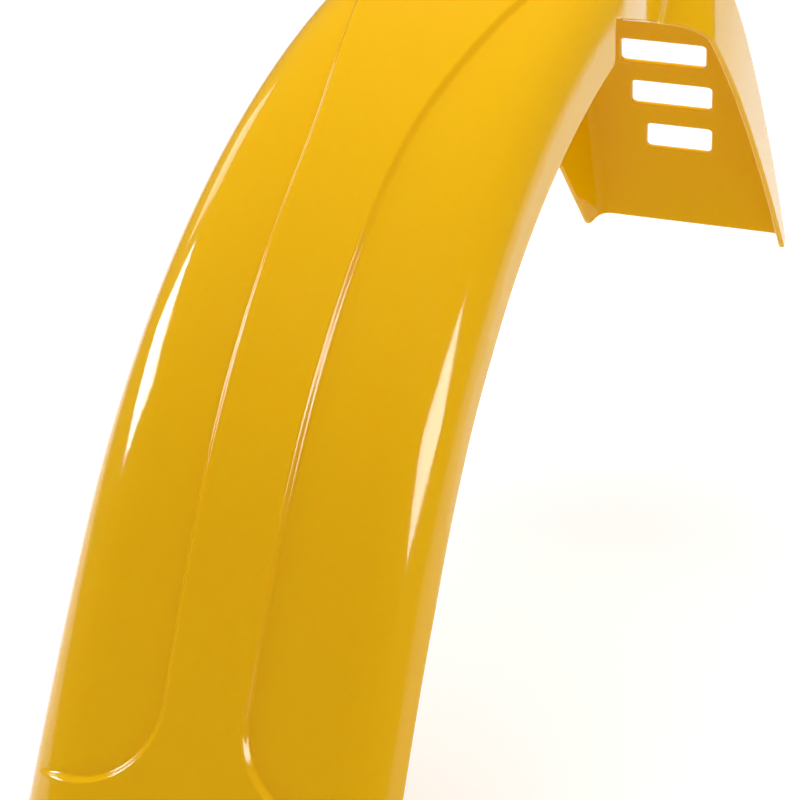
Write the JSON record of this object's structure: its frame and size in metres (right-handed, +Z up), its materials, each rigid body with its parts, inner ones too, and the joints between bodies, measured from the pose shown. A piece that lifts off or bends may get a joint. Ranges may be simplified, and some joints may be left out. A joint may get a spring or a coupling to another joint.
{
  "type": "motorcycle front mudguard",
  "caption": "One-piece moulded front mudguard: long arched blade with a raised centre band, a narrow neck between the fork legs and a slotted rear flap.",
  "frame": {"origin": "centre of the mounting boss's top face on the crown", "axes": "+Z up, out of the mounting boss; front of the machine toward -Y; X across, the sheet is symmetric about X = 0"},
  "size_m": [0.1672, 0.6456, 0.365],
  "materials": {
    "yellow_plastic": "gloss moulded polypropylene, coloured through"
  },
  "bodies": {
    "root": {"mudguard": "yellow_plastic"}
  },
  "joints": []
}
